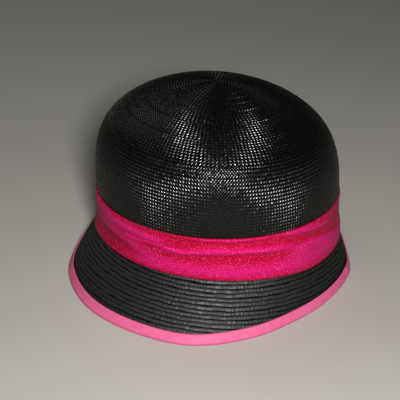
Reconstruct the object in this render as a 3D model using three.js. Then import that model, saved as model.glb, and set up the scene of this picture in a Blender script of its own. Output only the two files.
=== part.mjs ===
import * as THREE from 'three';

// Straw cloche hat, standing on the bound edge of its brim.
// Millimetres, +Z up, front of the hat toward -Y, wearer's left toward +X.
// The origin is the centre of the brim's outline, on the plane that the edge stands on.

const facetsRound = 56; // facets round every piece
const gap = 0.3; // clearance between neighbouring pieces

// The head hole is an oval on a plane that tips down toward the back.
const headHalfWidth = 94;
const headHalfLength = 92;
const headCentre = new THREE.Vector3(-5.2, 14.8, 26.9);
const headTilt = THREE.MathUtils.degToRad(5);

const crownHeight = 116.8; // from the head hole to the tip
const crownTipBend = 1.6; // exponent of the dome's radius: below 2 draws the tip up to a soft point
const crownSideBend = 4.65; // exponent of the dome's height: above 2 keeps the sides upright
const crownSwell = 0.034; // how far the sides swell, as a share of the radius
const crownLean = new THREE.Vector2(-4.1, -8.4); // slump of the tip to the right and forward
const crownWall = 1.5;
const crownOuterRows = 20;
const crownInnerRows = 20;

// How far the brim's edge stands out from the head hole, every 20 degrees round the hat.
const brimReach = [
  5, 4.5, 3.5, 3, 2.5, 4, 16.5, 28.5, 34.5, // from the back past the right side to the front
  35, 35, 26.5, 18, 14.5, 12.5, 6, 4.5, 4.5, // and on past the left side
];
const flareBow = 0.1; // how far the flare bows out of a straight line, as a share of its length
const flareStraight = THREE.MathUtils.degToRad(30); // the side where the flare is straight
const brimWall = 1.6;
const collarRise = 12; // height of the collar inside the crown
const rowPitch = 3.2; // one sewn row of straw
const rowRelief = 0.5; // depth of the groove between two rows
const rowLines = 30; // grooves and crests alternate, two lines to a row

const bandHeight = 32.6;
const bandTopRise = 3.9; // the top edge climbs to the left side and drops to the right side
const bandCloth = 1.5; // thickness of the gathered cloth between its folds
const bandLip = 1.6; // how far the foot's outer edge droops
const bandOuterRows = 14;
const bandInnerRows = 4;
const bandEdgeRound = 0.06; // share of the height over which the cloth rounds into its edges

// The band's folds: height up the band (0 foot, 1 top edge) at the middle of the fold, climb for each
// radian toward the left, the middle's degrees from the front, reach either way, width and depth.
const bandFolds = [
  { height: 0.22, climb: 0.0, middle: 0, reach: 360, width: 0.21, depth: 1.2 },
  { height: 0.63, climb: 0.12, middle: 35, reach: 70, width: 0.09, depth: 1.0 },
  { height: 0.82, climb: 0.05, middle: 115, reach: 65, width: 0.13, depth: 1.4 },
  { height: 0.7, climb: -0.06, middle: -70, reach: 75, width: 0.14, depth: 1.0 },
  { height: 0.66, climb: 0.05, middle: 190, reach: 60, width: 0.12, depth: 1.1 },
  { height: 0.95, climb: 0.0, middle: 0, reach: 360, width: 0.06, depth: 0.5 },
];

const ribbonWall = 1;
const ribbonOuterLeg = 6.5; // up the outside of the brim, from the edge
const ribbonInnerLeg = 6; // up the underside
const ribbonFoot = 1.8; // width of the flat that the hat stands on
const ribbonTuck = 1.5; // from the edge back to where the underside's leg begins

// Half thickness of the bound edge, which is also the height of the brim's edge above the flat.
const ribbonNose = brimWall / 2 + gap + ribbonWall;

const straw = new THREE.Color(0x0b0d0b);
const cloth = new THREE.Color(0xd0205f);
const ribbon = new THREE.Color(0xe8709c);

const headFrame = new THREE.Matrix4()
  .makeRotationX(-headTilt)
  .setPosition(headCentre);

// Angle from the front toward the wearer's left, radius and height of a point turned about +Z.
function turnedPlace(point) {
  return {
    angle: Math.atan2(point.x, -point.y),
    radius: Math.hypot(point.x, point.y),
    height: point.z,
  };
}

// Turns a closed outline of (radius, height) points about +Z and carries each vertex to a new place.
function turnedPiece(outline, carry) {
  const geometry = new THREE.LatheGeometry(outline, facetsRound);
  geometry.rotateX(Math.PI / 2);
  const places = geometry.getAttribute('position');
  const vertex = new THREE.Vector3();
  for (let i = 0; i < places.count; i += 1) {
    vertex.fromBufferAttribute(places, i);
    vertex.copy(carry(turnedPlace(vertex)));
    places.setXYZ(i, vertex.x, vertex.y, vertex.z);
  }
  geometry.computeVertexNormals();
  return geometry;
}

function namedMesh(name, geometry, color, roughness) {
  const material = new THREE.MeshStandardMaterial({ color, roughness, metalness: 0 });
  const mesh = new THREE.Mesh(geometry, material);
  mesh.name = name;
  return mesh;
}

// Share of the crown's radius at a share of its climb: a superellipse with a slight swell at the sides.
function domePoint(climb) {
  const angle = climb * Math.PI / 2;
  const swell = 1 + crownSwell * Math.sin(Math.PI * Math.min(1.25 * climb, 1));
  return {
    radius: climb === 1 ? 0 : Math.cos(angle) ** (2 / crownTipBend) * swell,
    height: Math.sin(angle) ** (2 / crownSideBend),
  };
}

// Climb at which the dome reaches a height.
function domeClimb(height) {
  const share = Math.min(Math.max(height / crownHeight, 0), 1);
  return Math.asin(share ** (crownSideBend / 2)) / (Math.PI / 2);
}

// Place on the crown's wall at an angle and height, standing off its outer face, in the head hole's frame.
function crownPlace(angle, height, standOff) {
  const share = domePoint(domeClimb(height)).radius;
  const lean = height / crownHeight;
  return new THREE.Vector3(
    (headHalfWidth * share + standOff) * Math.sin(angle) + crownLean.x * lean,
    -(headHalfLength * share + standOff) * Math.cos(angle) + crownLean.y * lean,
    height,
  );
}

function crownGeometry() {
  const outline = [];
  for (let i = crownInnerRows; i >= 0; i -= 1) {
    const point = domePoint(i / crownInnerRows);
    outline.push(new THREE.Vector2(
      point.radius * (headHalfLength - crownWall),
      point.height * (crownHeight - crownWall),
    ));
  }
  for (let i = 0; i <= crownOuterRows; i += 1) {
    const point = domePoint(i / crownOuterRows);
    outline.push(new THREE.Vector2(point.radius * headHalfLength, point.height * crownHeight));
  }
  const geometry = new THREE.LatheGeometry(outline, facetsRound);
  geometry.rotateX(Math.PI / 2);
  geometry.scale(headHalfWidth / headHalfLength, 1, 1);
  const lean = crownLean.clone().divideScalar(crownHeight);
  geometry.applyMatrix4(new THREE.Matrix4().makeShear(0, 0, 0, 0, lean.x, lean.y));
  geometry.computeVertexNormals();
  return geometry;
}

// Depth of the band's folds at an angle and a height up the band: a soft ridge for each row of the table.
function foldDepth(angle, height) {
  let depth = 0;
  for (const fold of bandFolds) {
    const middle = THREE.MathUtils.degToRad(fold.middle);
    const turn = Math.atan2(Math.sin(angle - middle), Math.cos(angle - middle));
    const reach = THREE.MathUtils.degToRad(fold.reach);
    const fade = THREE.MathUtils.smoothstep(reach - Math.abs(turn), 0, reach / 2);
    const offset = (height - fold.height - fold.climb * Math.sin(turn)) / fold.width;
    depth += fold.depth * fade * Math.exp(-offset * offset);
  }
  return depth;
}

// The band is laid out as a straight ring, its outer face one unit beyond its inner face.
function bandGeometry() {
  const innerFace = 1;
  const outerFace = 2;
  const outline = [];
  for (let i = 0; i <= bandOuterRows; i += 1) {
    outline.push(new THREE.Vector2(outerFace, i / bandOuterRows));
  }
  for (let i = bandInnerRows; i >= 0; i -= 1) {
    outline.push(new THREE.Vector2(innerFace, i / bandInnerRows));
  }
  outline.push(outline[0].clone());
  return turnedPiece(outline, ({ angle, radius, height }) => {
    const outer = radius > (innerFace + outerFace) / 2;
    const top = bandHeight + bandTopRise * Math.sin(angle);
    const climb = gap + height * (top - gap);
    const inside = THREE.MathUtils.clamp(height, bandEdgeRound, 1 - bandEdgeRound);
    const puff = (bandCloth + foldDepth(angle, height)) * Math.sqrt(Math.sin(Math.PI * inside));
    const place = crownPlace(angle, climb, gap + (outer ? puff : 0));
    if (outer && height === 0) place.z -= bandLip;
    return place;
  });
}

// The brim's edge, a smooth closed curve through the table of reaches.
const brimEdge = new THREE.CatmullRomCurve3(brimReach.map((reach, i) => {
  const place = crownPlace(2 * Math.PI * i / brimReach.length - Math.PI, 0, reach);
  return place.add(headCentre).setZ(ribbonNose);
}), true, 'catmullrom', 0.5);

// The flare at an angle: where it leaves the head hole, its run to the edge, length, bow and outward way.
function flareAt(angle) {
  const start = crownPlace(angle, 0, 0);
  start.z -= gap + brimWall / 2;
  start.applyMatrix4(headFrame);
  const run = brimEdge.getPoint((angle / (2 * Math.PI) + 1.5) % 1).sub(start);
  const outward = new THREE.Vector3(run.x, run.y, 0).normalize();
  const length = run.length();
  const bow = flareBow * length * Math.sin((angle - flareStraight) / 2) ** 2;
  return { start, run, length, bow, outward };
}

// Place on the flare at a distance from the head hole, standing off its middle surface.
function flarePlace(flare, distance, standOff) {
  const slope = Math.atan2(-flare.run.z, flare.run.dot(flare.outward));
  const normal = flare.outward.clone().multiplyScalar(Math.sin(slope)).setZ(Math.cos(slope));
  const share = THREE.MathUtils.clamp(distance / flare.length, 0, 1);
  return flare.start.clone()
    .addScaledVector(flare.run, distance / flare.length)
    .addScaledVector(normal, standOff + flare.bow * 4 * share * (1 - share));
}

// Distance of a row line from the head hole. Lines that would pass the ribbon share the strip under it.
function rowDistance(line, length) {
  const strip = length - ribbonOuterLeg + 1;
  const shown = Math.min(Math.floor(2 * strip / rowPitch), rowLines - 1);
  if (line <= shown) return line * rowPitch / 2;
  const last = shown * rowPitch / 2;
  return last + (length - last) * (line - shown) / (rowLines - shown);
}

// The brim is laid out as a flat washer: its radius counts row lines, its height picks the face.
function brimGeometry() {
  const firstLine = 10;
  const underLines = 8;
  const collarLine = 4;
  const outline = [
    new THREE.Vector2(collarLine, 0),
    new THREE.Vector2(firstLine - 1, 0),
  ];
  for (let i = 1; i <= underLines; i += 1) {
    outline.push(new THREE.Vector2(firstLine + rowLines * i / underLines, 0));
  }
  for (let i = rowLines; i >= 0; i -= 1) {
    outline.push(new THREE.Vector2(firstLine + i, 1));
  }
  outline.push(new THREE.Vector2(firstLine - 1, 1));
  outline.push(new THREE.Vector2(collarLine, 1));
  outline.push(outline[0].clone());
  const collarFace = -crownWall - gap;
  return turnedPiece(outline, ({ angle, radius, height }) => {
    const top = height > 0.5;
    const line = radius - firstLine;
    if (line < -0.5) {
      const rise = line < -2 ? collarRise : -gap;
      const inset = top ? collarFace : collarFace - brimWall;
      return crownPlace(angle, rise, inset).applyMatrix4(headFrame);
    }
    const flare = flareAt(angle);
    if (!top) {
      return flarePlace(flare, flare.length * line / rowLines, -brimWall / 2);
    }
    const count = Math.round(line);
    const distance = rowDistance(count, flare.length);
    const shown = distance < flare.length - ribbonOuterLeg;
    const groove = shown && count > 0 && count % 2 === 0 ? rowRelief : 0;
    return flarePlace(flare, distance, brimWall / 2 - groove);
  });
}

// The ribbon's section: distance out from the brim's edge, height off the brim's middle surface, and for
// the two points on the flat that the hat stands on, the distance out from the middle of the flat.
function bindingGeometry() {
  const skin = brimWall / 2 + gap;
  const layRadius = 3;
  const section = [
    { along: -ribbonInnerLeg, off: -ribbonNose },
    { along: -ribbonTuck, off: -ribbonNose },
    { along: 0, off: 0, foot: -ribbonFoot / 2 },
    { along: 0, off: 0, foot: ribbonFoot / 2 },
    { along: 0, off: ribbonNose },
    { along: -ribbonOuterLeg / 2, off: ribbonNose },
    { along: -ribbonOuterLeg, off: ribbonNose },
    { along: -ribbonOuterLeg, off: skin },
    { along: -ribbonOuterLeg / 2, off: skin },
    { along: 0, off: skin },
    { along: 0, off: -skin },
    { along: -ribbonInnerLeg / 2, off: -skin },
    { along: -ribbonInnerLeg, off: -skin },
  ];
  // The section is laid out as a small ring, one step of turn to a point.
  const outline = section.map((point, i) => {
    const turn = 2 * Math.PI * i / section.length;
    return new THREE.Vector2(layRadius - Math.cos(turn), -Math.sin(turn));
  });
  outline.push(outline[0].clone());
  return turnedPiece(outline, ({ angle, radius, height }) => {
    const turn = Math.atan2(-height, layRadius - radius);
    const step = Math.round((turn / (2 * Math.PI) + 1) * section.length);
    const point = section[step % section.length];
    const flare = flareAt(angle);
    if (point.foot !== undefined) {
      const place = flarePlace(flare, flare.length + gap, 0);
      place.addScaledVector(flare.outward, point.foot);
      place.z = 0;
      return place;
    }
    return flarePlace(flare, flare.length + gap + point.along, point.off);
  });
}

const head = new THREE.Group();
head.applyMatrix4(headFrame);
head.add(
  namedMesh('crown', crownGeometry(), straw, 0.35),
  namedMesh('hat_band', bandGeometry(), cloth, 0.6),
);

const hat = new THREE.Group();
hat.add(
  head,
  namedMesh('brim', brimGeometry(), straw, 0.35),
  namedMesh('edge_binding', bindingGeometry(), ribbon, 0.55),
);

export default hat;
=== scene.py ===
import bpy
import numpy as np
from mathutils import Matrix


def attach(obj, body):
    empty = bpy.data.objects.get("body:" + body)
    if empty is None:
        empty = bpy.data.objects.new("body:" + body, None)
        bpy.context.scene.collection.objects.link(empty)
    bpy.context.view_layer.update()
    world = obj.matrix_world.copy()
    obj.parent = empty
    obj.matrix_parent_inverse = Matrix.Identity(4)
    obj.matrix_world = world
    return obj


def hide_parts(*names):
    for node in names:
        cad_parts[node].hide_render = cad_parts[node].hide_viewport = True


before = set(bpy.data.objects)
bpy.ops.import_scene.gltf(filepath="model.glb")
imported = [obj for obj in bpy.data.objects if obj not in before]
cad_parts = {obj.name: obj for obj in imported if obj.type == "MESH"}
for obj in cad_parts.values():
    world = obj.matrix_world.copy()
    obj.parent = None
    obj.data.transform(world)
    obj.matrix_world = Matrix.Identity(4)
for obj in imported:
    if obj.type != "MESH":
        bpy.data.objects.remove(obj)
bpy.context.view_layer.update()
print("frame loaded, nodes:", sorted(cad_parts))

mm = 0.001  # every shape below is worked out in mm and put into its mesh in metres
fullTurn = 2 * np.pi

# the head hole and the dome over it, as the frame's solids have them
head = {
    "halfWidth": 94.0,  # of the hole, to the crown's outer face
    "halfLength": 92.0,
    "centre": np.array([-5.2, 14.8, 26.9]),
    "tilt": np.radians(5),  # down toward the back
    "height": 116.8,  # of the dome over the hole
    "tipBend": 1.6,  # exponent of the dome's radius
    "sideBend": 4.65,  # exponent of its height
    "swell": 0.034,  # bulge between the foot and the shoulder, as a share of the radius
    "swellTop": 0.8,  # where the bulge ends, as a share of the way from the foot to the tip
    "lean": (-4.1, -8.4),  # of the tip, to the right and forward
    "wall": 1.5,
    "gap": 0.3,  # between neighbouring pieces
    "steps": 4000,  # points on the dome's outline
}
meanHalf = (head["halfWidth"] + head["halfLength"]) / 2


# dome outline: radius = sin(a)^(2/p) with a slight swell, height = cos(a)^(2/q),
# a from 0 at the tip to 90 degrees at the foot
def domeTable():
    fromTip = np.linspace(0, 1, head["steps"]) ** 2
    climb = 1 - fromTip
    swell = 1 + head["swell"] * np.sin(np.pi * np.minimum(climb / head["swellTop"], 1))
    radius = np.sin(fromTip * np.pi / 2) ** (2 / head["tipBend"]) * swell
    height = head["height"] * np.abs(np.cos(fromTip * np.pi / 2)) ** (2 / head["sideBend"])
    wide = radius * meanHalf
    step = np.hypot(np.diff(wide), np.diff(height))
    arc = np.concatenate([[0], np.cumsum(step)])
    outward = -np.gradient(height, arc)
    upward = np.gradient(wide, arc)
    return {"arc": arc, "radius": radius, "height": height, "outward": outward, "upward": upward}


dome = domeTable()
domeLength = dome["arc"][-1]


# a column of the outline's table, read at an arc length from the tip
def domeValue(arc, name):
    return np.interp(arc, dome["arc"], dome[name])


# arc length from the tip at which the dome has a height
def arcAtHeight(height):
    return np.interp(-height, -dome["height"], dome["arc"])


# the head hole's own plane is tipped about X and lifted to its place
def fromHeadPlane(x, y, z):
    c, s = np.cos(head["tilt"]), np.sin(head["tilt"])
    return np.stack([x, y * c + z * s, z * c - y * s], -1) + head["centre"]


# place on the dome at an arc length from the tip and an angle from the front toward the left,
# off its outer face along the outline's normal
def domePlace(arc, turn, off):
    height = domeValue(arc, "height")
    out = off * domeValue(arc, "outward")
    rise = off * domeValue(arc, "upward")
    share = height / head["height"]
    radius = domeValue(arc, "radius")
    x = (head["halfWidth"] * radius + out) * np.sin(turn) + head["lean"][0] * share
    y = -(head["halfLength"] * radius + out) * np.cos(turn) + head["lean"][1] * share
    return fromHeadPlane(x, y, height + rise)


# smooth step from 0 to 1 between two values
def easeBetween(value, low, high):
    t = np.clip((value - low) / (high - low), 0, 1)
    return t * t * (3 - 2 * t)


# signed angle from one turn to another
def turnFrom(turn, middle):
    return np.arctan2(np.sin(turn - middle), np.cos(turn - middle))


# faces between two closed rings of any counts: each step along either ring makes one triangle
def zipRings(upper, lower):
    midUpper = (np.arange(len(upper)) + 0.5) / len(upper)
    midLower = (np.arange(len(lower)) + 0.5) / len(lower)
    lowAt = np.searchsorted(midLower, midUpper, "left") % len(lower)
    upAt = np.searchsorted(midUpper, midLower, "right") % len(upper)
    byUpper = np.stack([upper, lower[lowAt], np.roll(upper, -1)], 1)
    byLower = np.stack([upper[upAt], lower, np.roll(lower, -1)], 1)
    return np.concatenate([byUpper, byLower])


# quads between the rows of a grid of vertex numbers that closes on itself round each row
def gridQuads(rows):
    after = np.roll(rows, -1, 1)
    quads = np.stack([rows[:-1], rows[1:], after[1:], after[:-1]], -1)
    return quads.reshape(-1, 4)


# triangles from a middle point to each step of a closed ring
def fanAbout(centre, ring):
    return np.stack([np.full(len(ring), centre), ring, np.roll(ring, -1)], 1)


# how the pieces lie in their maps
layout = {
    "margin": 0.02,  # free strip at both sides, for faces across the seam
    "ends": (0.01, 0.99),  # first and last ring
    "weave": (0.02, 0.78),  # the crown's outside, from the tip to the foot
    "inside": (0.8, 0.98),  # and its inner wall
}


# puts points, quads and triangles into a mesh with smooth faces, a map for each vertex
# and a roughness for each face
def makePiece(name, points, quads, tris, uv, material, slot, nodes, creased=None, rough=None):
    mesh = bpy.data.meshes.new(name)
    loops = np.concatenate([quads.ravel(), tris.ravel()]).astype(np.int32)
    sizes = np.concatenate([np.full(len(quads), 4), np.full(len(tris), 3)]).astype(np.int32)
    starts = np.concatenate([[0], np.cumsum(sizes)[:-1]]).astype(np.int32)
    mesh.vertices.add(len(points))
    mesh.vertices.foreach_set("co", (points * mm).astype(np.float32).ravel())
    mesh.loops.add(len(loops))
    mesh.loops.foreach_set("vertex_index", loops)
    mesh.polygons.add(len(sizes))
    mesh.polygons.foreach_set("loop_start", starts)
    mesh.polygons.foreach_set("use_smooth", np.ones(len(sizes), bool))
    mesh.update(calc_edges=True)
    first = uv[loops[np.repeat(starts, sizes)], 0]  # a face across the map's seam stays in one stretch
    across = uv[loops, 0] - first
    corner = np.stack([first + across - np.round(across), uv[loops, 1]], 1)
    corner[:, 0] = (corner[:, 0] + layout["margin"]) / (1 + 2 * layout["margin"])
    mesh.uv_layers.new(name="OFBake").uv.foreach_set("vector", corner.astype(np.float32).ravel())
    if rough is not None:
        layer = mesh.attributes.new("rough", "FLOAT", "FACE")
        layer.data.foreach_set("value", rough.astype(np.float32))
    if creased is not None:
        ends = np.empty(len(mesh.edges) * 2, np.int32)
        mesh.edges.foreach_get("vertices", ends)
        layer = mesh.attributes.new("sharp_edge", "BOOLEAN", "EDGE")
        layer.data.foreach_set("value", creased(ends[0::2], ends[1::2]))
    mesh.validate()
    mesh.materials.append(material)
    piece = bpy.data.objects.new(name, mesh)
    bpy.context.scene.collection.objects.link(piece)
    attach(piece, "root")
    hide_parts(*nodes)
    print(name, "made:", len(quads) * 2 + len(tris), "triangles")
    return piece


# a section carried round the hat: rings with a point at each turn, the last ring joined to the first
def makeTube(name, rings, turn, material, slot, nodes, creased=None, rough=None):
    number = np.arange(rings[..., 0].size).reshape(rings.shape[:2])
    quads = gridQuads(np.concatenate([number, number[:1]]))
    share = np.linspace(*layout["ends"], len(rings))[:, None] + 0 * turn[None, :]
    uv = np.stack([turn[None, :] / fullTurn + 0 * share, share], -1)
    return makePiece(name, rings.reshape(-1, 3), quads, np.zeros((0, 3), int), uv.reshape(-1, 2),
                     material, slot, nodes, creased, rough)


# sRGB hex to linear light
def linear(hexCode):
    part = np.array([int(hexCode[i:i + 2], 16) for i in (1, 3, 5)]) / 255
    light = np.where(part <= 0.04045, part / 12.92, ((part + 0.055) / 1.055) ** 2.4)
    return (*light.tolist(), 1.0)


# adds a node with its settings, its input values and its links;
# a colour mix has its two colours at inputs 6 and 7
def addNode(material, kind, settings=None, values=None, links=None):
    node = material.node_tree.nodes.new("ShaderNode" + kind)
    for name, value in (settings or {}).items():
        setattr(node, name, value)
    for socket, value in (values or {}).items():
        node.inputs[socket].default_value = value
    for socket, source in (links or {}).items():
        material.node_tree.links.new(source, node.inputs[socket])
    return node


# an empty material of nodes
def newMaterial(name):
    material = bpy.data.materials.new(name)
    material.use_nodes = True
    material.node_tree.nodes.clear()
    return material


# ends a material with its surface and output
def finishMaterial(material, values, links):
    surface = addNode(material, "BsdfPrincipled", values=values, links=links)
    addNode(material, "OutputMaterial", links={"Surface": surface.outputs["BSDF"]})
    return material


# dyed straw, lacquered after weaving: near black, with a hard narrow gloss on each strand's back
# and rough dips between, whose gloss is cut down as painted shade
strawLook = {
    "dark": "#020302",
    "pale": "#080a07",
    "patch": 14.0,  # mm across the patches of deeper dye
    "patchDetail": 3.0,
    "ior": 1.8,
    "fade": (0.7, 0.8),  # roughness between which the gloss is cut down, as painted shade in the dips and grooves
    "faded": 0.12,  # what is left of the gloss in the dips and grooves, where shade is painted
}


def lacqueredStraw(name):
    material = newMaterial(name)
    place = addNode(material, "TexCoord").outputs["Object"]
    size = {"Scale": 1 / (strawLook["patch"] * mm), "Detail": strawLook["patchDetail"]}
    patch = addNode(material, "TexNoise", values=size, links={"Vector": place}).outputs["Fac"]
    dyesAndPaintedShades = {6: linear(strawLook["dark"]), 7: linear(strawLook["pale"])}
    colour = addNode(material, "Mix", {"data_type": "RGBA"}, dyesAndPaintedShades, {"Factor": patch})
    # the roughest faces, in the dips and grooves, also lose most of their gloss through the specular tint:
    # painted shade
    rough = addNode(material, "Attribute", {"attribute_name": "rough"}).outputs["Fac"]
    low, high = strawLook["fade"]
    fade = {"From Min": low, "From Max": high, "To Min": 1.0, "To Max": strawLook["faded"]}
    shine = addNode(material, "MapRange", values=fade, links={"Value": rough})
    return finishMaterial(material, {"IOR": strawLook["ior"]}, {
        "Base Color": colour.outputs[2],
        "Roughness": rough,
        "Specular Tint": shine.outputs["Result"],
    })


# crown: two families of strands cross on the bias, in rings about a tip that lies a little behind
# the dome's middle. Strand numbers i and j count round the two families, i + j counts half rows down
# from the tip and (i - j) / 2 the columns round. In each cell the strand on top is a long ridge that
# dips at its ends under the crossing strands.
crown = {
    "columns": 256,
    # share of the strands that go on toward the tip, where the sides end and then from zone to zone
    "fewer": (0.686, 0.8),
    # mm between columns below which strands are left out, on the sides and in the zones
    "narrowAt": (2.0, 2.35),
    "rowPitch": 2.65,
    "tipPitch": 2.05,  # rows lie closer toward the tip, so the strands run flatter there
    "pitchFrom": (72.0, 98.0),  # arc lengths between which the pitch changes
    "relief": 0.72,
    "tipRelief": 1.0,  # strands stand rounder there
    "reliefFrom": (86.0, 112.0),
    "sideLift": 0.1,  # height of the cell's edges, as a share of the relief
    "ridgeHalf": (0.3, 0.37),  # half width and half length of a strand's flat back, in cells
    "last": 4.0,  # radius of the knot at the tip
    "zoneGap": 0.1,  # mm between two zones
    "splitArc": 98.0,  # the tip's weave and the side's meet here
    "foot": 27.0,  # height on the dome where the weave ends, under the band
    "footStep": 1.0,  # mm from the weave to the plain foot's first ring
    "footRows": 5,
    "tipShift": (-2.0, 3.0),  # of the tip's rings, along the cloth, to the right and back
    "shiftReach": 85.0,
    "wander": 0.03,  # how far strands lie out of line, in cells
    "uneven": 0.03,  # mm that the corners of a strand's back stand higher or lower
    "sheen": (0.24, 0.36),  # roughness of the strands' backs
    "dull": 0.8,  # and of the dips between them, whose gloss is also cut down as painted shade
    "wallColumns": 108,  # of the plain inner wall
    "wallRows": 12,
    "wallFrom": 3.0,  # arc length of its first ring at the tip
    "seed": 11,
}


# half rows down from the tip, two to a pitch, as a running sum over the arc length
def weaveRows():
    arc = np.linspace(0, domeLength, head["steps"])
    share = easeBetween(arc, *crown["pitchFrom"])
    pitch = crown["tipPitch"] + (crown["rowPitch"] - crown["tipPitch"]) * share
    return {"arc": arc, "count": np.concatenate([[0], np.cumsum(np.diff(arc) * 2 / pitch[1:])])}


rowTable = weaveRows()


# half rows down from the tip at an arc length, and the other way round
def countAt(arc):
    return np.interp(arc, rowTable["arc"], rowTable["count"])


def arcAt(count):
    return np.interp(count, rowTable["count"], rowTable["arc"])


# shifts the rings near the tip along the cloth, fading out toward the shoulder
def shiftTip(arc, turn):
    fade = np.clip(1 - (arc / crown["shiftReach"]) ** 2, 0, 1) ** 2
    x = arc * np.sin(turn) + crown["tipShift"][0] * fade
    y = -arc * np.cos(turn) + crown["tipShift"][1] * fade
    return np.hypot(x, y), np.arctan2(x, -y)


# an edge is creased where it runs along a cell's side, across a strand at the ends of its back,
# or along a rim. Each point's marks are its two steps within the cell, whether it ends a strand's
# back either way, and its rim.
def findCreases(here, there):
    found = (here[:, 4] & there[:, 4]).astype(bool)
    for step, end in ((0, 2), (1, 3)):
        along = here[:, step] == there[:, step]
        atEnd = (here[:, end] | there[:, end]).astype(bool)
        found |= along & ((here[:, step] == 0) | atEnd)
    return found


# half rows of a zone with a fixed number of columns: places, creases and roughness,
# on three fine steps to a cell
def weaveZone(zone):
    fine, columns = 3, zone["columns"]
    chance = np.random.default_rng(crown["seed"] + columns)
    # the first fine row is only there for its half diamonds
    row = np.arange(fine * zone["from"] - 1, fine * zone["to"] + 1)[:, None]
    column = np.arange(fine * columns)[None, :]
    a = (row + row % 2) // 2 + column
    b = (row - row % 2) // 2 - column
    cellA, cellB = a // fine, b // fine
    stepA, stepB = a % fine, b % fine
    inside = (stepA > 0) & (stepB > 0)
    over = (cellA + cellB) % 2 == 0  # the first family lies on top
    width, length = crown["ridgeHalf"]
    halfA = np.where(over, width, length)
    halfB = np.where(over, length, width)
    wander = chance.normal(0, crown["wander"], (2, columns))
    uneven = chance.normal(0, crown["uneven"], (2, columns, columns))
    sheen = chance.uniform(*crown["sheen"], (columns, columns))
    strandA, strandB = cellA % columns, cellB % columns
    sideA, sideB = np.where(stepA == 1, -1, 1), np.where(stepB == 1, -1, 1)
    i = np.where(inside, cellA + 0.5 + sideA * halfA + wander[0][strandA] * over, a / fine)
    j = np.where(inside, cellB + 0.5 + sideB * halfB + wander[1][strandB] * ~over, b / fine)
    corner = (stepA == 0) & (stepB == 0)
    lift = np.where(inside, 1.0, np.where(corner, 0.0, crown["sideLift"])) - 0.5
    tip = sideA * uneven[0][strandA, strandB] + sideB * uneven[1][strandA, strandB]
    arc = arcAt(countAt(zone["arc"]) + i + j)
    flatter = easeBetween(arc, *crown["reliefFrom"])
    relief = crown["tipRelief"] + (crown["relief"] - crown["tipRelief"]) * flatter
    off = relief * lift + tip * inside
    rim = np.zeros(off.shape, int)
    rim[[1, -1]] = 1
    return {
        "arc": arc[1:],
        "turn": (fullTurn * (i - j) / 2 / columns)[1:],
        "off": off[1:],
        "crease": np.stack([stepA, stepB, inside & ~over, inside & over, rim], -1)[1:],
        "rough": np.where(np.where(over, stepB, stepA) == 1, sheen[strandA, strandB], crown["dull"]),
    }


# faces of a zone: diamonds with a corner up, and half diamonds that level its first and last rows
def zoneFaces(number):
    left = np.roll(number, 1, 1)
    right = np.roll(number, -1, 1)
    even = number[0:-2:2], left[1:-1:2], number[2::2], number[1:-1:2]
    odd = number[1:-2:2], number[2:-1:2], number[3::2], right[2:-1:2]
    quads = np.concatenate([np.stack(part, -1).reshape(-1, 4) for part in (even, odd)])
    top = np.stack([number[0], number[1], right[0]], 1)
    bottom = np.stack([number[-2], number[-1], right[-1]], 1)
    return quads, np.concatenate([top, bottom])


# zones from the tip down, each with more strands than the one above it, to the foot under the band
def weaveZones():
    counts = [crown["columns"], round(crown["columns"] * crown["fewer"][0])]
    while counts[-1] * crown["narrowAt"][1] / fullTurn > crown["last"]:
        counts.append(round(counts[-1] * crown["fewer"][1]))
    zones = []
    end = arcAtHeight(crown["foot"])
    for columns in counts:
        narrow = crown["narrowAt"][0 if columns == counts[0] else 1]
        start = np.interp(columns * narrow / fullTurn, dome["radius"] * meanHalf, dome["arc"])
        half = 2 * max(1, round((countAt(end) - countAt(start)) / 2))
        start = arcAt(countAt(end) - half)
        zones.append({"columns": columns, "arc": start, "from": 0, "to": half})
        end = start - crown["zoneGap"]
    return zones[::-1]


# the crown is two shells, parted along a row of the widest zone
def buildCrown(material):
    zones = weaveZones()
    wide = zones[-1]
    split = 2 * round((countAt(crown["splitArc"]) - countAt(wide["arc"])) / 2)
    weaveShell("crown_tip_weave", zones[:-1] + [{**wide, "to": split}], True, material)
    weaveShell("crown_side_weave", [{**wide, "from": split}], False, material)


# height in the map of the crown's outside
def weaveMap(arc):
    tip, foot = layout["weave"]
    return tip + (foot - tip) * arc / domeLength


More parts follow.
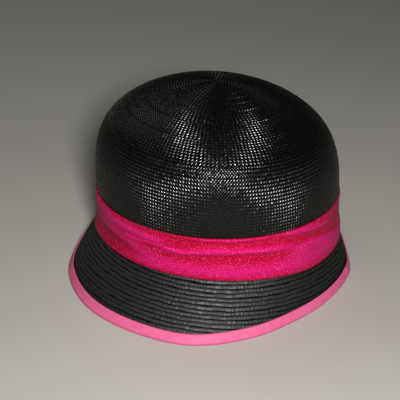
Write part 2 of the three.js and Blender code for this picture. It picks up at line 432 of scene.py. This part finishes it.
# a closed shell: woven zones outside, a plain foot below them, a plain wall inside,
# and a strip at each open edge
def weaveShell(name, zones, closed, material):
    points, uv, creases, quads, tris, quadSheen, triSheen = [], [], [], [], [], [], []
    rings = []

    def addPoints(places, turn, depth, crease):
        number = sum(map(len, points)) + np.arange(turn.size).reshape(turn.shape)
        points.append(places.reshape(-1, 3))
        uv.append(np.stack([turn / fullTurn, depth], -1).reshape(-1, 2))
        creases.append(crease.reshape(-1, 5))
        if turn.size > 1:
            if rings:
                addTris(zipRings(rings[-1], number[0]))
            rings.extend([number[0], number[-1]])
        return number

    def addTris(faces):
        tris.append(faces)
        triSheen.append(np.full(len(faces), crown["dull"]))

    # crease marks of the plain walls and the two middle points match no other point's
    def addWall(arc, off, depth):
        columns = crown["wallColumns"]
        turn = (fullTurn * np.arange(columns) / columns)[None, :] + 0 * arc[:, None]
        places = domePlace(arc[:, None] + 0 * turn, turn, off + 0 * turn)
        unlike = np.arange(turn.size)[:, None] * [1, 1, 0, 0, 0] + [7, 7, 0, 0, 0]
        quads.append(gridQuads(addPoints(places, turn, depth[:, None] + 0 * turn, unlike)))
        quadSheen.append(np.full(len(quads[-1]), crown["dull"]))

    for zone in zones:
        weave = weaveZone(zone)
        places = domePlace(*shiftTip(weave["arc"], weave["turn"]), weave["off"])
        number = addPoints(places, weave["turn"], weaveMap(weave["arc"]), weave["crease"])
        zoneQuads, zoneTris = zoneFaces(number)
        quads.append(zoneQuads)
        tris.append(zoneTris)
        quadSheen.append(weave["rough"][1:].ravel()[zoneQuads[:, 0] - number[0, 0]])
        triSheen.append(np.concatenate([weave["rough"][0], weave["rough"][-2]]))
    end = weave["arc"][-1].mean()
    start = crown["wallFrom"] if closed else arcAt(countAt(zones[0]["arc"]) + zones[0]["from"])
    if not closed:
        foot = np.linspace(end + crown["footStep"], domeLength, crown["footRows"])
        addWall(foot, 0.0, weaveMap(foot))
        end = domeLength
    rows = crown["wallRows"]
    addWall(np.linspace(end, start, rows), -head["wall"], np.linspace(*layout["inside"], rows))
    if closed:
        none = np.zeros(1)
        outerEnd, innerEnd = layout["ends"]
        outside = domePlace(*shiftTip(none, none), none)
        inside = domePlace(none, none, none - head["wall"])
        tip = addPoints(outside, none, none + outerEnd, np.array([4, 4, 0, 0, 1]))
        inner = addPoints(inside, none, none + innerEnd, np.array([5, 5, 0, 0, 0]))
        addTris(fanAbout(tip[0], rings[0]))
        addTris(fanAbout(inner[0], rings[-1])[:, ::-1])
    else:
        addTris(zipRings(rings[-1], rings[0]))
    creases = np.concatenate(creases)
    makePiece(name, *map(np.concatenate, (points, quads, tris, uv)), material, "crown_straw", ["crown"],
              lambda here, there: findCreases(creases[here], creases[there]),
              np.concatenate(quadSheen + triSheen))


buildCrown(lacqueredStraw("lacquered woven straw"))

# brim: straw braid sewn in rows below the head hole, running out under the binding where the brim is short
brim = {
    # how far the edge stands out from the head hole, every 20 degrees from the back past the right side
    "reach": np.array([5, 4.5, 3.5, 3, 2.5, 4, 16.5, 28.5, 34.5, 35, 35, 26.5, 18, 14.5, 12.5, 6, 4.5, 4.5]),
    "bow": 0.1,  # of the flare out of a straight line, as a share of its length
    "straight": np.radians(30),  # the side where the flare is straight
    "wall": 1.6,
    "underRings": 6,
    "rowPitch": 3.2,
    "relief": 0.5,
    "rowUneven": 0.08,  # share that rows stand higher or lower
    "crest": 2.3,  # exponent of a row's rounded back
    "across": np.array([0.0, 0.1, 0.36, 0.64, 0.9]),  # places of the lines across one row
    "plait": 2.4,  # mm along the braid from one crossing to the next
    "plaitRadius": 108.0,  # of the round on which that is counted
    "plaitDepth": 0.34,
    "plaitStrength": (0.4, 1.2),  # least and most of it
    "plaitUneven": 0.25,
    "plaitSlant": 0.5,
    "drift": 0.4,  # crossings that the plait runs ahead or behind
    "driftWaves": (7, 19, 43, 71),
    "columns": 1100,
    "wander": 0.3,  # mm that a sewn row strays from its line
    "wanderWaves": (2, 3, 5, 9, 17, 31, 47),
    "collarRise": 12.0,
    "collarMiddle": 4.0,
    "edgeHeight": 2.1,  # of the edge's middle over the floor
    "cover": 5.0,  # width of the strip that the binding hides
    "spare": 2.0,  # mm past the last row, over which the hidden lines are spread
    "sheen": (0.54, 0.7),  # roughness of the braid's back
    "dull": 0.8,  # and in the grooves, whose gloss is also cut down as painted shade
    "seed": 5,
}


# closed Catmull-Rom curve through the reaches: cubic between points, with slopes from their neighbours
def brimEdge(turn):
    reach = brim["reach"]
    angles = fullTurn * (np.arange(len(reach)) / len(reach) - 0.5)
    spots = np.stack([(head["halfWidth"] + reach) * np.sin(angles),
                      -(head["halfLength"] + reach) * np.cos(angles)], -1)
    spots = spots + head["centre"][:2]
    along = (turn / fullTurn + 0.5) % 1 * len(spots)
    k = np.floor(along).astype(int)
    t = (along - k)[..., None]
    p0, p1, p2, p3 = (spots[(k + step) % len(spots)] for step in (-1, 0, 1, 2))
    slope1, slope2 = (p2 - p0) / 2, (p3 - p1) / 2
    flat = (2 * t**3 - 3 * t**2 + 1) * p1 + (t**3 - 2 * t**2 + t) * slope1 \
        + (3 * t**2 - 2 * t**3) * p2 + (t**3 - t**2) * slope2
    return np.concatenate([flat, np.full(flat.shape[:-1] + (1,), brim["edgeHeight"])], -1)


# the flare at each turn: where it leaves the head hole, its way down to the edge, its length, its normal
# and its bow, which grows with the squared sine of half the turn from the straight side
def flareAt(turn):
    start = fromHeadPlane(head["halfWidth"] * np.sin(turn), -head["halfLength"] * np.cos(turn),
                          0 * turn - head["gap"] - brim["wall"] / 2)
    run = brimEdge(turn) - start
    length = np.linalg.norm(run, axis=-1)
    outward = run * np.array([1, 1, 0])
    outward = outward / np.linalg.norm(outward, axis=-1, keepdims=True)
    way = run / length[..., None]
    slope = np.arctan2(-run[..., 2], (run * outward).sum(-1))[..., None]
    normal = outward * np.sin(slope) + np.array([0, 0, 1]) * np.cos(slope)
    bow = brim["bow"] * length * np.sin((turn - brim["straight"]) / 2) ** 2
    return {"start": start, "way": way, "length": length, "normal": normal, "bow": bow}


# straight down the flare, and off it by the distance asked for and a parabola that is nothing at both ends
def flarePlace(flare, distance, off):
    share = np.clip(distance / flare["length"], 0, 1)
    off = off + flare["bow"] * 4 * share * (1 - share)
    return flare["start"] + flare["way"] * distance[..., None] + flare["normal"] * off[..., None]


# slow waves round the hat with whole numbers of turns, of about unit height
def slowWaves(turn, chance, counts):
    total = 0
    for count in counts:
        total = total + np.sin(count * turn + chance.uniform(0, fullTurn)) / len(counts) ** 0.5
    return total


# the section runs down the collar, out over the rows, back along the underside and up the collar.
# Across a row it is a rounded back between two grooves; the plait slants both ways from the back's
# middle, and each of its crossings is a parabola along the row.
def buildBrim(material):
    chance = np.random.default_rng(brim["seed"])
    turn = fullTurn * np.arange(brim["columns"]) / brim["columns"]
    flare = flareAt(turn)
    fine = len(brim["across"])
    rows = int(np.ceil(flare["length"].max() / brim["rowPitch"]))
    line = np.arange(rows * fine + 1)
    rowOf, across = line // fine, brim["across"][line % fine]
    plaits = round(fullTurn * brim["plaitRadius"] / brim["plait"])
    stray = np.stack([slowWaves(turn, chance, brim["wanderWaves"]) for _ in range(rows + 1)]) * brim["wander"]
    drift = np.stack([slowWaves(turn, chance, brim["driftWaves"]) for _ in range(rows + 1)]) * brim["drift"]
    phase = chance.uniform(0, 1, rows + 1)
    height = chance.normal(1, brim["rowUneven"], rows + 1)
    ridge = 1 - np.abs(2 * across - 1) ** brim["crest"]
    distance = (rowOf + across)[:, None] * brim["rowPitch"] + stray[rowOf] * (line > 0)[:, None]
    cover = (flare["length"] - brim["cover"])[None, :]
    beyond = (distance - cover) / np.maximum(rows * brim["rowPitch"] + brim["spare"] - cover, 1)
    shown = distance < cover
    distance = np.where(shown, distance, cover + brim["cover"] * np.clip(beyond, 0, 1))
    distance[-1] = flare["length"]
    crossing = plaits * turn[None, :] / fullTurn + phase[rowOf][:, None] \
        + brim["plaitSlant"] * np.abs(2 * across - 1)[:, None] + drift[rowOf]
    cell = rowOf[:, None], np.floor(crossing).astype(int) % plaits
    strength = chance.uniform(*brim["plaitStrength"], (rows + 1, plaits))[cell]
    plait = -strength * (2 * (crossing % 1) - 1) ** 2 + chance.normal(0, brim["plaitUneven"], crossing.shape)
    off = brim["wall"] / 2 + (brim["relief"] * (ridge * height[rowOf] - 1)[:, None]
                              + brim["plaitDepth"] * plait * np.sqrt(ridge)[:, None]) * shown
    outer = flarePlace({key: value[None] for key, value in flare.items()}, distance, off)
    rises = np.array([brim["collarRise"], brim["collarMiddle"], -head["gap"]])[:, None] + 0 * turn
    inset = head["wall"] + head["gap"]

    def collar(rise, inward):
        return fromHeadPlane((head["halfWidth"] - inward) * np.sin(turn) + 0 * rise,
                             -(head["halfLength"] - inward) * np.cos(turn) + 0 * rise, rise)

    under = np.stack([flarePlace(flare, flare["length"] * share, 0 * turn - brim["wall"] / 2)
                      for share in np.linspace(1, 0, brim["underRings"])])
    rings = np.concatenate([collar(rises, inset), outer, under, collar(rises[::-1], inset + brim["wall"])])
    woven = slice(len(rises), len(rises) + len(line))
    groove = np.zeros(rings.shape[:2], bool)
    groove[woven] = (across == 0)[:, None]
    groove = groove.ravel()
    rough = np.full(rings.shape[:2], brim["dull"])
    gloss = chance.uniform(*brim["sheen"], (rows + 1, plaits))[cell]
    # the grooves are dull, and the material cuts their gloss down as painted shade
    gloss[(across == 0) | (across == across.max())] = brim["dull"]
    rough[woven] = gloss
    makeTube("brim_straw_rows", rings, turn, material, "brim_straw", ["brim"],
             lambda here, there: groove[here] & groove[there] & (here // len(turn) == there // len(turn)),
             rough.ravel())


buildBrim(lacqueredStraw("lacquered sewn straw braid"))

# band: one strip of satin drawn round the foot of the crown in soft folds
band = {
    "height": 32.6,
    "topRise": 3.9,  # the top edge climbs to the left side and drops to the right
    # mm that the foot hangs down over the brim, by degrees from the front
    "foot": {-150: 2.5, -90: 4.6, -60: 5.5, -48: 4.8, -38: 3.4, -15: 2.4, 10: 0.9, 35: 0.6, 55: 1.0, 75: 2.6,
             130: 2.5},
    "footStand": 1.3,  # off the brim's middle surface
    "footShare": 0.25,  # share of the height that is drawn down
    "round": 0.06,  # share of the height that is rounded in at each edge
    "edgeStand": 0.35,  # what is left of the stand there
    "lay": 0.6,  # mm that the cloth stands off between folds
    "least": 0.4,
    "columns": 720,
    "rows": 96,
    "innerRings": 9,
    # folds: degrees from the front and height up the band along each crest, widths above and below it,
    # and its stand
    "folds": (
        (((-25, 0.2), (180, 0.2), (300, 0.2)), 0.2, 0.2, 1.2),
        (((-180, 0.97), (180, 0.97)), 0.05, 0.04, 0.5),
        (((12, 0.97), (30, 0.97), (58, 0.97)), 0.05, 0.05, 0.6),
        (((-6, 0.5), (10, 0.57), (20, 0.64), (28, 0.67), (41, 0.68), (54, 0.64), (68, 0.63), (76, 0.66)),
         0.12, 0.07, 1.3),
        (((-85, 0.62), (-45, 0.55), (-15, 0.5), (4, 0.46)), 0.2, 0.2, 1.1),
        (((-20, 0.55), (-15, 0.57), (-7, 0.6), (6, 0.66)), 0.04, 0.03, 0.6),
        (((-60, 0.9), (-35, 0.86), (-12, 0.8), (14, 0.76)), 0.1, 0.12, 1.5),
        (((-48, 0.78), (-36, 0.72), (-24, 0.69)), 0.04, 0.03, 0.4),
        (((54, 0.95), (68, 0.92), (82, 0.83), (96, 0.8)), 0.09, 0.08, 1.2),
        (((54, 0.46), (66, 0.51), (76, 0.56), (88, 0.46), (101, 0.28), (122, 0.24)), 0.08, 0.2, 1.3),
        (((-175, 0.74), (-120, 0.72), (-70, 0.66)), 0.12, 0.07, 1.3),
        (((118, 0.7), (160, 0.65), (190, 0.66), (228, 0.72)), 0.1, 0.06, 1.4),
        (((130, 0.42), (165, 0.46), (215, 0.4)), 0.08, 0.06, 0.8),
    ),
    "foldEnd": 25.0,  # degrees over which a fold's end fades, at most
    "creases": 90,  # short faint creases, strewn over the band
    "creaseAt": (0.1, 0.9),  # heights up the band between which they lie
    "creaseReach": (0.06, 0.2),  # radians
    "creaseSlant": 0.25,
    "creaseWidth": (0.02, 0.05),
    "creaseStand": 0.22,
    "seed": 23,
    "paintedValleyShade": "#a80a32",  # painted shade, in the valleys
    "crest": "#cc2274",  # painted sheen, on the crests
    "paintedSheenFrom": (0.7, 2.2),  # stand between which the painted valley shade turns to the painted crest sheen
    # painted glints: a bright pink mixed into the colour where a fine noise is high
    "paintedGlint": "#ff7ab8",
    "paintedGlintFrom": (0.62, 0.85),
    "paintedGlintShare": 0.6,
    "spark": 0.8,  # mm between the painted glints
    "sparkDetail": 0.0,
    "grain": 0.9,  # mm, coarser than real satin's threads, so that it shows
    "grainDetail": 1.0,
    "grainTone": 2.4,
    "grainBump": 0.35,
    "grainDepth": 0.2,  # mm
    "ior": 1.3,
    "roughness": 0.5,
    "tint": "#ff70b0",
    "flat": (0.038, 0.612),  # metres, laid out
}


# along each fold's line a crest with a long slope above and a short one below, fading over its ends
def foldDepth(turn, up):
    depth = 0
    degrees = np.degrees(turn)
    for knots, above, below, stand in band["folds"]:
        at, height = np.array(knots).T
        middle, reach = (at[0] + at[-1]) / 2, (at[-1] - at[0]) / 2
        around = (degrees - middle + 180) % 360 - 180 + middle
        inward = reach - np.abs(around - middle)
        fade = 1.0 if reach >= 180 else easeBetween(inward, 0, min(reach / 2, band["foldEnd"]))
        past = up - np.interp(around, at, height)
        depth = depth + stand * fade * np.exp(-(past / np.where(past > 0, above, below)) ** 2)
    return depth


# each crease is a short slanted line with a soft rise or dip across it
def creaseDepth(turn, up):
    chance = np.random.default_rng(band["seed"])
    depth = 0
    low, high = band["creaseAt"]
    for middle, height in chance.uniform((0, low), (fullTurn, high), (band["creases"], 2)):
        around = turnFrom(turn, middle)
        length, slant = chance.uniform(*band["creaseReach"]), chance.normal(0, band["creaseSlant"])
        across = (up - height - slant * around) / chance.uniform(*band["creaseWidth"])
        depth = depth + chance.normal(0, band["creaseStand"]) * np.exp(-(around / length) ** 2 - across ** 2)
    return depth


# satin, woven with long floats and piece-dyed. Painted into its colour are a pink sheen on the crests,
# a deep red shade in the valleys and fine glints
def satin(name):
    material = newMaterial(name)
    place = addNode(material, "TexCoord").outputs["Object"]
    threads = {"Scale": 1 / (band["grain"] * mm), "Detail": band["grainDetail"]}
    grain = addNode(material, "TexNoise", values=threads, links={"Vector": place}).outputs["Fac"]
    sparks = {"Scale": 1 / (band["spark"] * mm), "Detail": band["sparkDetail"]}
    spark = addNode(material, "TexNoise", values=sparks, links={"Vector": place}).outputs["Fac"]
    crest = addNode(material, "Attribute", {"attribute_name": "crest"}).outputs["Fac"]
    # the colour runs from the painted valley shade to the painted crest sheen by the crest attribute, with
    # the grain's random tone added
    tone = addNode(material, "Math", {"operation": "MULTIPLY_ADD"},
                   {1: band["grainTone"], 2: -band["grainTone"] / 2}, {0: grain})
    tone = addNode(material, "Math", {"operation": "ADD", "use_clamp": True},
                   links={0: tone.outputs["Value"], 1: crest})
    dyesAndPaintedShades = {6: linear(band["paintedValleyShade"]), 7: linear(band["crest"])}
    colour = addNode(material, "Mix", {"data_type": "RGBA"}, dyesAndPaintedShades, {"Factor": tone.outputs["Value"]})
    # painted glints: the colour is mixed toward a bright pink where the noise is high
    low, high = band["paintedGlintFrom"]
    bright = {"From Min": low, "From Max": high, "To Min": 0.0, "To Max": band["paintedGlintShare"]}
    paintedGlintMask = addNode(material, "MapRange", values=bright, links={"Value": spark})
    withPaintedGlints = addNode(material, "Mix", {"data_type": "RGBA"}, {7: linear(band["paintedGlint"])},
                   {"Factor": paintedGlintMask.outputs["Result"], 6: colour.outputs[2]})
    relief = {"Strength": band["grainBump"], "Distance": band["grainDepth"] * mm}
    bump = addNode(material, "Bump", values=relief, links={"Height": grain})
    finish = {"IOR": band["ior"], "Roughness": band["roughness"], "Specular Tint": linear(band["tint"])}
    return finishMaterial(material, finish, {
        "Base Color": withPaintedGlints.outputs[2],
        "Normal": bump.outputs["Normal"],
    })


# the outside stands off the dome by its lay, folds and creases, rounded in at both edges; the lowest
# rows are drawn down onto the brim with the square of how low they are; the inside is plain
def buildBand(material):
    turn = (fullTurn * np.arange(band["columns"]) / band["columns"])[None, :]
    up = np.linspace(1, 0, band["rows"] + 1)[:, None]
    top = band["height"] + band["topRise"] * np.sin(turn)
    climb = head["gap"] + up * (top - head["gap"])
    edge = np.minimum(np.minimum(up, 1 - up) / band["round"], 1)
    rounded = band["edgeStand"] + (1 - band["edgeStand"]) * np.sqrt(edge * (2 - edge))
    puff = np.maximum(band["lay"] + foldDepth(turn, up) + creaseDepth(turn, up), band["least"]) * rounded
    outer = domePlace(arcAtHeight(climb), turn + 0 * up, head["gap"] + puff)
    flare = flareAt(turn[0])
    hang = np.interp(np.degrees(turn[0]), list(band["foot"]), list(band["foot"].values()), period=360)
    draw = flarePlace(flare, hang, 0 * hang + band["footStand"]) - outer[-1]
    outer = outer + (np.clip(1 - up / band["footShare"], 0, 1) ** 2)[..., None] * draw[None]
    innerUp = np.linspace(0, 1, band["innerRings"])[:, None]
    innerArc = arcAtHeight(head["gap"] + innerUp * (top - head["gap"]))
    inner = domePlace(innerArc, turn + 0 * innerUp, head["gap"] + 0 * innerArc)
    rings = np.concatenate([outer, inner])
    piece = makeTube("band_cloth_folds", rings, turn[0], material, "band_cloth", ["hat_band"])
    # crest: how far the colour goes from the painted valley shade toward the painted crest sheen, by how far
    # the cloth stands out
    rise = np.concatenate([puff, 0 * inner[..., 0]])
    layer = piece.data.attributes.new("crest", "FLOAT", "POINT")
    layer.data.foreach_set("value", easeBetween(rise, *band["paintedSheenFrom"]).astype(np.float32).ravel())


buildBand(satin("dyed satin drawn in folds"))

# binding: a ribbon folded over the brim's edge, which the hat stands on
ribbon = {
    "wall": 1.0,
    "outerLeg": 6.5,
    "innerLeg": 6.0,
    "legEnd": 0.6,  # from the brim's edge to where the legs turn
    "nose": 2.1,  # radius of the bound edge outside the ribbon
    "noseBack": 0.4,  # its centre's distance from the brim's edge
    "noseSteps": 11,
    "legSteps": (6, 5),  # outside and underneath
    "columns": 960,
    "flat": (0.019, 0.7),  # metres, laid out
    "seam": 95.0,  # degrees from the front where its ends lap
    "lap": 10.0,  # degrees that the upper end runs on
    "lapRise": 0.5,
    "lapSlant": 1.4,  # degrees that the cut end leans over the outer face
    "lapFrom": 1.5,  # only what stands this far off the brim's middle surface is lapped
    "dark": "#cd5c86",
    "pale": "#da749c",
    "patch": 6.0,  # mm across the patches of deeper dye
    "patchDetail": 2.0,
    "rib": 1.4,  # mm from rib to rib, coarser than on a real ribbon, so that they show
    "ribBump": 0.3,
    "ribDepth": 0.1,  # mm
    "ior": 1.4,
    "roughness": 0.6,
}


# grosgrain, woven with thick crosswise ribs and dyed: matt light pink, with fine shade lines
# across the ribbon
def grosgrain(name):
    material = newMaterial(name)
    split = addNode(material, "SeparateXYZ", links={"Vector": addNode(material, "TexCoord").outputs["UV"]})
    ribs = ribbon["flat"][1] / (ribbon["rib"] * mm)
    wave = addNode(material, "Math", {"operation": "MULTIPLY"}, {1: fullTurn * ribs}, {0: split.outputs["X"]})
    rib = addNode(material, "Math", {"operation": "SINE"}, links={0: wave.outputs["Value"]})
    size = {"Scale": 1 / (ribbon["patch"] * mm), "Detail": ribbon["patchDetail"]}
    patch = addNode(material, "TexNoise", values=size,
                    links={"Vector": addNode(material, "TexCoord").outputs["Object"]}).outputs["Fac"]
    dyesAndPaintedShades = {6: linear(ribbon["dark"]), 7: linear(ribbon["pale"])}
    colour = addNode(material, "Mix", {"data_type": "RGBA"}, dyesAndPaintedShades, {"Factor": patch})
    relief = {"Strength": ribbon["ribBump"], "Distance": ribbon["ribDepth"] * mm}
    bump = addNode(material, "Bump", values=relief, links={"Height": rib.outputs["Value"]})
    finish = {"IOR": ribbon["ior"], "Roughness": ribbon["roughness"]}
    return finishMaterial(material, finish, {
        "Base Color": colour.outputs[2],
        "Normal": bump.outputs["Normal"],
    })


# section of the ribbon: down the outside, round the edge in half a circle and up the underside,
# then back inside
def ribbonSection():
    nose, inner, back = ribbon["nose"], ribbon["nose"] - ribbon["wall"], ribbon["noseBack"]
    swing = np.linspace(np.pi / 2, -np.pi / 2, ribbon["noseSteps"])
    down = np.linspace(ribbon["outerLeg"], ribbon["legEnd"], ribbon["legSteps"][0])
    under = np.linspace(ribbon["legEnd"], ribbon["innerLeg"], ribbon["legSteps"][1])
    coarse = swing[::-2]
    parts = [
        (-down, nose + 0 * down),
        (nose * np.cos(swing) - back, nose * np.sin(swing)),
        (-under, -nose + 0 * under),
        (-under[::-2], -inner + 0 * under[::-2]),
        (inner * np.cos(coarse) - back, inner * np.sin(coarse)),
        (-down[::-2], inner + 0 * down[::-2]),
    ]
    return np.concatenate([np.stack(part, 1) for part in parts])


# the section goes round on the end of the flare, with its upper end lapped over the lower one
def buildRibbon(material):
    turn = fullTurn * np.arange(ribbon["columns"]) / ribbon["columns"]
    flare = {key: value[None] for key, value in flareAt(turn).items()}
    section = ribbonSection()
    along, off = section[:, :1], section[:, 1:]
    behind = np.degrees(turnFrom(turn[None, :], np.radians(ribbon["seam"])))
    behind = behind + ribbon["lapSlant"] * along / ribbon["outerLeg"]
    fade = 1 - easeBetween(behind, ribbon["lap"] / 2, ribbon["lap"])
    lap = (behind > 0) * fade * (off > ribbon["lapFrom"])
    rings = flarePlace(flare, flare["length"] + head["gap"] + along, off + ribbon["lapRise"] * lap)
    rings[..., 2] = np.maximum(rings[..., 2], 0)
    piece = makeTube("edge_ribbon", rings, turn, material, "binding_ribbon", ["edge_binding"])


buildRibbon(grosgrain("dyed grosgrain ribbon"))

# pale floor, a lamp beside the camera, a dim one behind the hat, and the camera at the photograph's angle
stage = {
    "floorHalf": 2500.0,
    "floorColour": "#bbb8b1",
    "floorRoughness": 0.8,
    "target": np.array([-11.44, -3.3, 51.3]),
    "azimuth": np.radians(30),
    "elevation": np.radians(32),
    "distance": 850.0,
    "lens": 98.82,
    "sensor": 36.0,
    "nearest": 10.0,  # mm in front of the camera
    "keySize": 160.0,  # mm across
    "keyPower": 9.0,
    "keyLift": 40.0,  # over the camera
    "keyAside": 60.0,  # and to its right
    "fillAzimuth": np.radians(250),  # behind the hat
    "fillElevation": np.radians(40),
    "fillDistance": 1600.0,
    "fillPower": 3.0,
    "fillSize": 1000.0,
    "worldColour": "#9a9c98",
    "worldStrength": 0.06,
    "gamma": 0.85,  # for the photograph's hard contrast
}


# unit direction from the hat at an angle round it from the front toward the left, and an angle up
def wayTo(azimuth, elevation):
    level = np.array([np.sin(azimuth), -np.cos(azimuth), 0]) * np.cos(elevation)
    return level + np.array([0, 0, np.sin(elevation)])


# the camera's right, its up and the way back to it from what it looks at
def cameraAxes():
    back = wayTo(stage["azimuth"], stage["elevation"])
    right = np.array([np.cos(stage["azimuth"]), np.sin(stage["azimuth"]), 0])
    return right, np.cross(back, right), back


# object matrix that looks from a spot to another with +Z up
def lookFrom(spot, at):
    back = (spot - at) / np.linalg.norm(spot - at)
    right = np.cross([0, 0, 1], back)
    right = right / np.linalg.norm(right)
    matrix = np.eye(4)
    matrix[:3, :3] = np.stack([right, np.cross(back, right), back], 1)
    matrix[:3, 3] = spot * mm
    return Matrix(matrix.tolist())


# a round lamp that shines on the hat
def addLamp(name, spot, power, size):
    lamp = bpy.data.lights.new(name, "AREA")
    lamp.energy = power
    lamp.shape = "DISK"
    lamp.size = size * mm
    holder = bpy.data.objects.new(name, lamp)
    holder.matrix_world = lookFrom(spot, stage["target"])
    bpy.context.scene.collection.objects.link(holder)


# floor, camera, lamps, world and view
def buildStage():
    half = stage["floorHalf"] * mm
    mesh = bpy.data.meshes.new("floor")
    corners = [(-half, -half, 0), (half, -half, 0), (half, half, 0), (-half, half, 0)]
    mesh.from_pydata(corners, [], [(0, 1, 2, 3)])
    paint = {"Base Color": linear(stage["floorColour"]), "Roughness": stage["floorRoughness"]}
    # rolled emulsion on board: an even pale grey without gloss
    mesh.materials.append(finishMaterial(newMaterial("matt painted board"), paint, {}))
    floor = bpy.data.objects.new("floor", mesh)
    bpy.context.scene.collection.objects.link(floor)
    right, up, back = cameraAxes()
    spot = stage["target"] + stage["distance"] * back
    lens = bpy.data.cameras.new("camera")
    lens.lens = stage["lens"]
    lens.sensor_width = stage["sensor"]
    lens.clip_start = stage["nearest"] * mm
    camera = bpy.data.objects.new("camera", lens)
    camera.matrix_world = lookFrom(spot, stage["target"])
    bpy.context.scene.collection.objects.link(camera)
    bpy.context.scene.camera = camera
    beside = spot + stage["keyLift"] * up + stage["keyAside"] * right
    addLamp("key lamp", beside, stage["keyPower"], stage["keySize"])
    behind = stage["target"] + stage["fillDistance"] * wayTo(stage["fillAzimuth"], stage["fillElevation"])
    addLamp("fill lamp", behind, stage["fillPower"], stage["fillSize"])
    world = bpy.data.worlds.new("studio")
    world.use_nodes = True
    shade = world.node_tree.nodes["Background"]
    shade.inputs["Color"].default_value = linear(stage["worldColour"])
    shade.inputs["Strength"].default_value = stage["worldStrength"]
    bpy.context.scene.world = world
    bpy.context.scene.view_settings.view_transform = "Standard"
    bpy.context.scene.view_settings.gamma = stage["gamma"]
    print("stage set")


buildStage()
